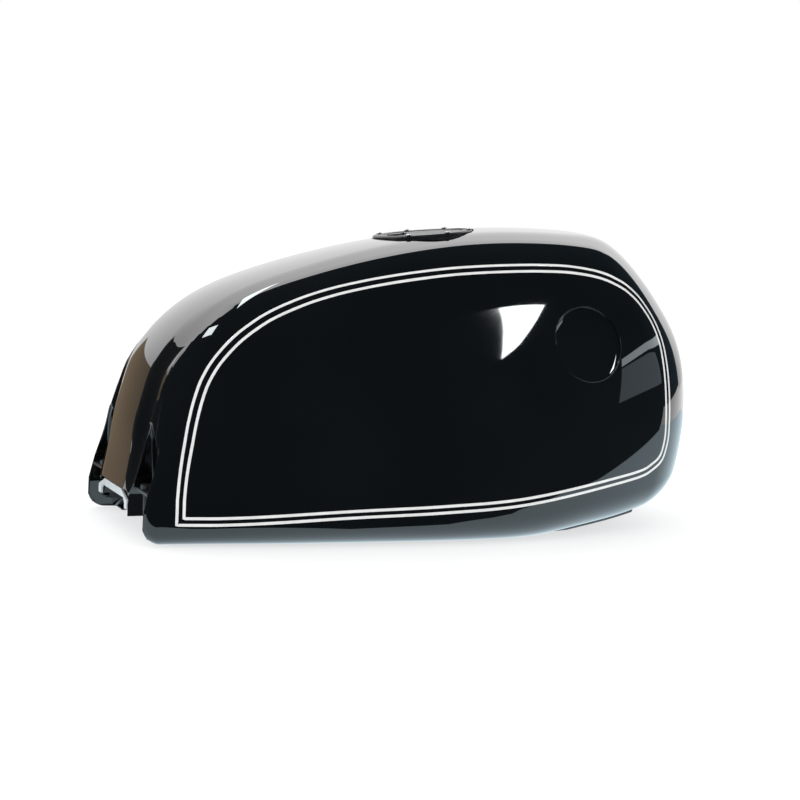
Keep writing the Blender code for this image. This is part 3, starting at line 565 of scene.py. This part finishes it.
# Middle of the outer pinstripe, x and z, from the foot of its rear side over the top to its lower rear end
STRIPE = [(-0.2643, 0.0425), (-0.2631, 0.0599), (-0.2607, 0.0770), (-0.2571, 0.0938), (-0.2531, 0.1107),
          (-0.2482, 0.1279), (-0.2415, 0.1451), (-0.2306, 0.1624), (-0.2147, 0.1796), (-0.1980, 0.1930),
          (-0.1773, 0.2057), (-0.1488, 0.2181), (-0.1200, 0.2275), (-0.0909, 0.2347), (-0.0611, 0.2407),
          (-0.0308, 0.2457), (-0.0001, 0.2499), (0.0308, 0.2529), (0.0616, 0.2551), (0.0928, 0.2565),
          (0.1245, 0.2563), (0.1567, 0.2521), (0.1789, 0.2443), (0.1908, 0.2377), (0.2043, 0.2263),
          (0.2185, 0.2072), (0.2259, 0.1880), (0.2287, 0.1688), (0.2304, 0.1494), (0.2314, 0.1299),
          (0.2320, 0.1102), (0.2316, 0.0904), (0.2252, 0.0718), (0.2110, 0.0618), (0.1948, 0.0561),
          (0.1552, 0.0499), (0.1183, 0.0443), (0.0836, 0.0393), (0.0506, 0.0355), (0.0191, 0.0332),
          (-0.0112, 0.0318), (-0.0403, 0.0304), (-0.0687, 0.0293), (-0.0965, 0.0282), (-0.1237, 0.0268),
          (-0.1505, 0.0251), (-0.1766, 0.0233), (-0.2023, 0.0217), (-0.2276, 0.0205), (-0.2486, 0.0202)]
STRIPE_HALF, STRIPE_STEP, STRIPE_LIFT = 0.0017, 0.0059, 0.00012
# Points along each of the two straight sides that meet in the stripe's rear corner
CORNER_STEPS = 8
CORNER_LEAN = 0.0002


def stripe_path(inset):
    """The closed line of a pinstripe's middle on the left side."""
    flat = smooth_outline(STRIPE)
    count = len(flat)
    ahead = [flat[min(i + 1, count - 1)] - flat[max(i - 1, 0)] for i in range(count)]
    moved = []
    for p, a in zip(flat, ahead):
        a = a / np.linalg.norm(a)
        moved.append((p[0] + a[1] * inset, p[1] - a[0] * inset))
    first, last = np.array(moved[0]), np.array(moved[-1])
    corner = np.array([first[0] + CORNER_LEAN, last[1]])
    down = [first + (corner - first) * k / CORNER_STEPS for k in range(1, CORNER_STEPS)]
    back = [corner + (last - corner) * k / CORNER_STEPS for k in range(CORNER_STEPS)]
    path = [tuple(p) for p in back + moved[::-1][1:] + down]
    ys = np.linspace(*FLANK_SCAN_Y, 1201)
    found = []
    for x, z in path:
        inside = form(np.stack([np.full_like(ys, x), ys, np.full_like(ys, z)], -1)) < 0
        found.append((x, float(ys[inside.argmax()]), z))
    return found


RIM_SINK = 0.0003


def surface_path(outline_yz):
    """Points of an outline in y, z brought just under the rear face."""
    path = []
    for y, z in outline_yz:
        x = rear_x(y, z)
        if x is not None:
            path.append((x + RIM_SINK, y, z))
    return path


POCKET_CENTRE = (0.073, 0.040)
POCKET_PLATE_X, POCKET_PLATE_RISE = -0.2668, 0.0080
POCKET_TOP_Z = 0.104
# Below this height the lining's rows stay level, so that its lower edge is straight
POCKET_LEVEL_Z = 0.031
# Share of the pocket's depth at each row of the lining, and how far the row is drawn in
LINER_ROWS = ((0.35, 0.0006), (0.75, 0.0010), (0.92, 0.0018), (1.0, 0.0040))


def pocket_liner():
    """The sheet that lines a mounting pocket: rim, walls and front plate."""
    outline = [(POCKET[0][0], POCKET_FOOT[0]), (POCKET[0][0], 0.028)] + pocket_outline
    outline += [(POCKET[-1][0], z) for z in (0.030, 0.014, POCKET_FOOT[1])]
    centre = np.array(POCKET_CENTRE)
    rim = surface_path(outline)
    rows = [rim]
    for depth, shrink in LINER_ROWS:
        row = []
        for (x, y, z), (oy, oz) in zip(rim, outline):
            toward = centre - np.array([oy, oz])
            toward = toward / np.linalg.norm(toward) * shrink
            front = POCKET_PLATE_X - POCKET_PLATE_RISE * oz / POCKET_TOP_Z
            row.append((x + (front - x) * depth, y + toward[0], z + toward[1] * (oz > POCKET_LEVEL_Z)))
        rows.append(row)
    bm, plate = sheet(rows, False)
    bm.faces.new(plate)
    bmesh.ops.recalc_face_normals(bm, faces=bm.faces)
    mesh = bm_mesh("pocket_liner", bm)
    mesh.shade_smooth()
    mesh.set_sharp_from_angle(angle=math.radians(40))
    return mesh


def badge_dish():
    """The recess that a round badge sits in: wall, small fillet and flat floor."""
    ring = circle(96)
    rim = settle([BADGE @ Vector((BADGE_R * c, BADGE_R * s, 0)) for c, s in ring], -0.0002)
    rows = [[Vector(p) for p in rim]]
    wall = [(BADGE_R, BADGE_FLOOR + 0.0012), (BADGE_R - 0.0004, BADGE_FLOOR + 0.0004),
            (BADGE_R - 0.0013, BADGE_FLOOR)]
    floor = [(BADGE_R * 0.7, BADGE_FLOOR), (BADGE_R * 0.35, BADGE_FLOOR)]
    for r, h in wall + floor:
        rows.append([BADGE @ Vector((r * c, r * s, h)) for c, s in ring])
    bm, middle = sheet(rows, True)
    bm.faces.new(middle)
    bmesh.ops.recalc_face_normals(bm, faces=bm.faces)
    mesh = bm_mesh("badge_dish", bm)
    if mesh.polygons[len(mesh.polygons) - 1].normal.dot(badge_out) < 0:
        mesh.flip_normals()
    mesh.shade_smooth()
    mesh.set_sharp_from_angle(angle=math.radians(50))
    return mesh


def badge_rim():
    """The rounded edge of the badge recess."""
    radius = BADGE_R + 0.0001
    path = settle([BADGE @ Vector((radius * c, radius * s, 0)) for c, s in circle(120)], -0.0003)
    return bead("badge_rim", path, normals(path), 0.0007, True)


def pocket_rim():
    """The rounded edge of a mounting pocket, from its inner shoulder over the top and down the outer side."""
    outline = [p for p in pocket_outline if p[1] > 0.0379]
    outline += [(POCKET[-1][0], z) for z in (0.030, 0.014, 0.006)]
    path = surface_path(outline)
    return bead("pocket_rim", path, normals(path), 0.0009, False)


# ---------------------------------------------------------------- materials
def nodes_of(name):
    """A new material, its node tree and its shader."""
    made = bpy.data.materials.new(name)
    made.use_nodes = True
    tree = made.node_tree
    return made, tree, tree.nodes["Principled BSDF"]


def noise(tree, scale, detail=3.0, rough=0.55):
    """A cloud of values over the piece's own coordinates."""
    spot = tree.nodes.new("ShaderNodeTexCoord")
    source = tree.nodes.new("ShaderNodeTexNoise")
    source.inputs["Scale"].default_value = scale
    source.inputs["Detail"].default_value = detail
    source.inputs["Roughness"].default_value = rough
    tree.links.new(spot.outputs["Object"], source.inputs["Vector"])
    return source.outputs["Fac"]


def ramp(tree, fac, low, high, start=0.35, end=0.65):
    """A value or colour that runs from low to high over part of a noise."""
    node = tree.nodes.new("ShaderNodeValToRGB")
    node.color_ramp.elements[0].position = start
    node.color_ramp.elements[1].position = end
    for element, value in zip(node.color_ramp.elements, (low, high)):
        element.color = (*value, 1.0) if isinstance(value, tuple) else (value, value, value, 1.0)
    tree.links.new(fac, node.inputs["Fac"])
    return node.outputs["Color"]


def bump(tree, shader, fac, strength, distance):
    node = tree.nodes.new("ShaderNodeBump")
    node.inputs["Strength"].default_value = strength
    node.inputs["Distance"].default_value = distance
    tree.links.new(fac, node.inputs["Height"])
    tree.links.new(node.outputs["Normal"], shader.inputs["Normal"])


def finish_material(name, low, high, rough, metallic=0.0, coat=0.0, coat_rough=0.03, scale=40.0, grain=400.0,
                    grain_depth=0.00002, grain_strength=0.2):
    """A procedural finish: mottled colour, varied roughness and a fine grain."""
    made, tree, shader = nodes_of(name)
    colour = ramp(tree, noise(tree, scale), low, high)
    tree.links.new(colour, shader.inputs["Base Color"])
    gloss = ramp(tree, noise(tree, scale * 1.7, 4.0, 0.6), rough[0], rough[1], 0.3, 0.7)
    tree.links.new(gloss, shader.inputs["Roughness"])
    shader.inputs["Metallic"].default_value = metallic
    shader.inputs["Coat Weight"].default_value = coat
    shader.inputs["Coat Roughness"].default_value = coat_rough
    bump(tree, shader, noise(tree, grain, 2.0, 0.5), grain_strength, grain_depth)
    return made


PAINT = finish_material("gloss_black_paint", (0.0012, 0.0014, 0.0016), (0.0026, 0.0029, 0.0032),
                        (0.020, 0.034), coat=1.0, coat_rough=0.012, scale=6.0, grain=260.0,
                        grain_depth=0.000004, grain_strength=0.12)
WHITE = finish_material("white_pinstripe_paint", (0.80, 0.81, 0.80), (0.90, 0.91, 0.90), (0.25, 0.35),
                        coat=1.0, coat_rough=0.03, scale=70.0, grain=600.0, grain_strength=0.1)
UNDERSIDE = finish_material("underside_paint", (0.007, 0.008, 0.009), (0.022, 0.024, 0.026), (0.30, 0.48),
                            scale=30.0, grain=700.0, grain_depth=0.00008, grain_strength=0.35)
# The light grey of the tunnel mouth's flange is a painted reflection: it stands in for the bright rolled
# edge.
FLANGE_PAINTED_REFLECTION = finish_material("bare_flange", (0.55, 0.58, 0.60), (0.70, 0.73, 0.75), (0.30, 0.45), metallic=0.2,
                         scale=60.0, grain=900.0, grain_depth=0.00005, grain_strength=0.3)
ANODISED = finish_material("black_anodised", (0.010, 0.010, 0.011), (0.022, 0.022, 0.023), (0.24, 0.36),
                           metallic=0.35, scale=80.0, grain=1500.0, grain_depth=0.00002, grain_strength=0.3)
STEEL = finish_material("zinc_steel", (0.42, 0.43, 0.45), (0.62, 0.63, 0.64), (0.22, 0.40), metallic=1.0,
                        scale=120.0, grain=2000.0, grain_depth=0.00002, grain_strength=0.4)
DARK_STEEL = finish_material("painted_stud", (0.015, 0.016, 0.017), (0.05, 0.05, 0.05), (0.25, 0.40),
                             metallic=0.5, scale=120.0, grain=1800.0, grain_depth=0.00003, grain_strength=0.4)
BRASS = finish_material("lock_brass", (0.42, 0.33, 0.13), (0.62, 0.50, 0.24), (0.25, 0.42), metallic=1.0,
                        scale=150.0, grain=2400.0, grain_depth=0.00002, grain_strength=0.3)
RUBBER = finish_material("black_rubber", (0.012, 0.012, 0.012), (0.030, 0.030, 0.030), (0.60, 0.80),
                         scale=90.0, grain=1600.0, grain_depth=0.00006, grain_strength=0.4)


# ---------------------------------------------------------------- pieces
def piece(obj, finish):
    """Gives a made piece its finish and fixes it to the tank."""
    obj.data.materials.clear()
    obj.data.materials.append(finish)
    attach(obj, "tank")


for side, shell in (("left", skin), ("right", right)):
    piece(shell, PAINT)
    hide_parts("outer_shell_" + side)

outer_stripe = ribbon("pinstripe_outer", stripe_path(0.0), STRIPE_HALF, STRIPE_LIFT)
inner_stripe = ribbon("pinstripe_inner", stripe_path(STRIPE_STEP), STRIPE_HALF, STRIPE_LIFT)
PAIRS = {"pocket_liner": (pocket_liner(), PAINT, "black_paint"),
         "badge_dish": (badge_dish(), PAINT, "black_paint"),
         "badge_rim": (badge_rim(), PAINT, "black_paint"),
         "pocket_rim": (pocket_rim(), PAINT, "black_paint"),
         "pinstripe_outer": (outer_stripe, WHITE, None),
         "pinstripe_inner": (inner_stripe, WHITE, None)}
for name, (mesh, finish, slot) in PAIRS.items():
    near = link(name + "_left", mesh)
    far = mirrored(near, name + "_right")
    for obj in (near, far):
        piece(obj, finish)
        if name == "pocket_liner":
            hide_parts("mount_pocket_" + obj.name.rsplit("_", 1)[1])
        if name.startswith("pinstripe"):
            shade_by_form(obj.data)

CAD_FINISH = {"tunnel_pan": UNDERSIDE, "tunnel_mouth_flange": FLANGE_PAINTED_REFLECTION, "front_skirt": UNDERSIDE,
              "front_mount_cup": UNDERSIDE, "fuel_tap_bung": STEEL, "rear_mount_bracket": UNDERSIDE,
              "rear_mount_stud": DARK_STEEL, "filler_neck": UNDERSIDE, "drain_tube": STEEL,
              "cap_ring": ANODISED, "cap_ring_gasket": RUBBER, "cap_screw": STEEL, "hinge_pin": STEEL,
              "cap_lid": ANODISED, "lid_seal": RUBBER, "breather_valve": BRASS, "cover_rivet": STEEL,
              "lock_cylinder": BRASS, "lock_cam": STEEL, "keyhole_cover": ANODISED}
for name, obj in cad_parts.items():
    match = max((key for key in CAD_FINISH if name.startswith(key)), key=len, default=None)
    if match:
        for place in obj.material_slots:
            place.material = CAD_FINISH[match]
        if not obj.material_slots:
            obj.data.materials.append(CAD_FINISH[match])


# ---------------------------------------------------------------- floor, light and camera
def panel(name, corners, strength, colour=(1, 1, 1), gradient=None):
    """A glowing panel that the camera can't see. gradient is (height low, height high, strength high)."""
    bm = bmesh.new()
    bm.faces.new([bm.verts.new(c) for c in corners])
    obj = link(name, bm_mesh(name, bm))
    made, tree, shader = nodes_of(name + "_glow")
    shader.inputs["Base Color"].default_value = (0, 0, 0, 1)
    shader.inputs["Roughness"].default_value = 1.0
    shader.inputs["Specular IOR Level"].default_value = 0.0
    shader.inputs["Emission Color"].default_value = (*colour, 1)
    shader.inputs["Emission Strength"].default_value = strength
    if gradient:
        low, high, top = gradient
        spot = tree.nodes.new("ShaderNodeTexCoord")
        split = tree.nodes.new("ShaderNodeSeparateXYZ")
        scale = tree.nodes.new("ShaderNodeMapRange")
        scale.inputs["From Min"].default_value = low
        scale.inputs["From Max"].default_value = high
        scale.inputs["To Min"].default_value = strength
        scale.inputs["To Max"].default_value = top
        tree.links.new(spot.outputs["Object"], split.inputs["Vector"])
        tree.links.new(split.outputs["Z"], scale.inputs["Value"])
        tree.links.new(scale.outputs["Result"], shader.inputs["Emission Strength"])
    obj.data.materials.append(made)
    obj.visible_camera = False
    return obj


def studio_floor():
    """A wide pale floor just under the tank."""
    bm = bmesh.new()
    bm.faces.new([bm.verts.new((x, y, -0.0004)) for x, y in ((-30, -30), (30, -30), (30, 30), (-30, 30))])
    ground = link("studio_floor", bm_mesh("studio_floor", bm))
    made, tree, shader = nodes_of("pale_floor")
    tone = ramp(tree, noise(tree, 3.0), (0.40, 0.40, 0.40), (0.43, 0.43, 0.43))
    tree.links.new(tone, shader.inputs["Base Color"])
    shader.inputs["Roughness"].default_value = 0.9
    shader.inputs["Specular IOR Level"].default_value = 0.1
    shader.inputs["Emission Color"].default_value = (1, 1, 1, 1)
    shader.inputs["Emission Strength"].default_value = 0.63
    ground.data.materials.append(made)


studio_floor()

ROOM = (0.034, 0.050, 0.064)
COOL = (0.80, 0.98, 1.08)
BROWN = (1.0, 0.76, 0.52)
SLATE = (0.75, 0.9, 1.0)


def mirror_card(name, corners, strength, colour):
    """A card of the room that only shows in the paint's reflections."""
    obj = panel(name, corners, strength, colour)
    obj.visible_diffuse = False
    obj.visible_shadow = False
    return obj


BACK_WALL = [(-7, 2.6, 0.0), (7, 2.6, 0.0), (7, 2.6, 7.5), (-7, 2.6, 7.5)]
panel("back_wall", BACK_WALL, 0.80, gradient=(0.3, 5.0, 2.4))
APRON = [(-30, -0.158), (-0.281, -0.158), (-0.109, -0.149), (-0.01, -0.170), (0.125, -0.256), (0.226, -0.283),
         (0.334, -0.290), (0.86, -0.448), (30, -9.5), (30, -30), (-30, -30)]
COOL_PATCH = [(-1.5, -1.2), (1.5, -1.2), (1.5, 0.6), (-1.5, 0.6)]
mirror_card("dark_apron", [(x, y, 0.0006) for x, y in APRON], 1.0, ROOM)
mirror_card("cool_floor", [(x, y, 0.0003) for x, y in COOL_PATCH], 0.97, COOL)
mirror_card("window", [(0.89, -1.6, 1.98), (1.04, -1.6, 1.85), (0.85, -1.6, 1.36), (0.78, -1.6, 1.22)], 17.0,
            (0.95, 1.0, 1.0))


CARD_REACH = 2.2
MIDDLE_Z = 0.15


def direction(azimuth, elevation):
    """A point seen from the tank's middle in a direction given in degrees."""
    a, e = math.radians(azimuth), math.radians(elevation)
    level = CARD_REACH * math.cos(e)
    return level * math.cos(a), level * math.sin(a), MIDDLE_Z + CARD_REACH * math.sin(e)


def sky_card(name, azimuths, elevations, strength, colour):
    """A card across a patch of directions around the tank."""
    (a0, a1), (e0, e1) = azimuths, elevations
    corners = [direction(*spot) for spot in ((a0, e0), (a1, e0), (a1, e1), (a0, e1))]
    mirror_card(name, corners, strength, colour)


sky_card("brown_screen", (101, 125), (-3.9, 11), 0.26, BROWN)
BROWN_FLOOR = [(-0.34, 0.2), (-0.16, 0.2), (-0.35, 2.55), (-1.9, 2.55)]
mirror_card("brown_floor", [(x, y, 0.0009) for x, y in BROWN_FLOOR], 0.26, BROWN)
sky_card("dark_screen", (125, 163), (-3.9, 30), 0.05, SLATE)
SKYLIGHTS = {"skylight_low": ((163, 56), (171, 52), (180, 56), (170, 60)),
             "skylight_high": ((98, 65), (125, 64), (152, 67), (122, 69))}
for name, spots in SKYLIGHTS.items():
    mirror_card(name, [direction(*spot) for spot in spots], 9.0, (0.9, 0.97, 1.0))
sky_card("lamp_strip", (-40, -3), (14.5, 16.5), 2.0, (0.85, 0.95, 1.0))
sky_card("far_wall", (-40, -20), (5, 14), 0.55, SLATE)


def surroundings():
    """A white surround that the paint reflects as a dark room."""
    world = bpy.data.worlds.new("studio")
    SCENE.world = world
    world.use_nodes = True
    tree = world.node_tree
    tree.nodes.clear()
    ray = tree.nodes.new("ShaderNodeLightPath")
    pale = tree.nodes.new("ShaderNodeBackground")
    pale.inputs["Color"].default_value = (1, 1, 1, 1)
    dark = tree.nodes.new("ShaderNodeBackground")
    dark.inputs["Color"].default_value = (*ROOM, 1)
    mix = tree.nodes.new("ShaderNodeMixShader")
    out = tree.nodes.new("ShaderNodeOutputWorld")
    tree.links.new(ray.outputs["Is Glossy Ray"], mix.inputs["Fac"])
    tree.links.new(pale.outputs[0], mix.inputs[1])
    tree.links.new(dark.outputs[0], mix.inputs[2])
    tree.links.new(mix.outputs[0], out.inputs["Surface"])


surroundings()

lens = bpy.data.cameras.new("camera")
lens.lens = 72.0
lens.sensor_width = 36.0
lens.clip_start = 0.01
camera = bpy.data.objects.new("camera", lens)
SCENE.collection.objects.link(camera)
CAMERA_AT = (-0.6787, -1.4211, 0.2877)
RIGHT = (0.90483, -0.42293, 0.04900)
UP = (0.00188, 0.11906, 0.99289)
BACK = (-0.42576, -0.89830, 0.10853)
turn = Matrix((RIGHT, UP, BACK)).transposed().to_4x4()
camera.matrix_world = Matrix.Translation(CAMERA_AT) @ turn
SCENE.camera = camera
SCENE.view_settings.view_transform = "Standard"
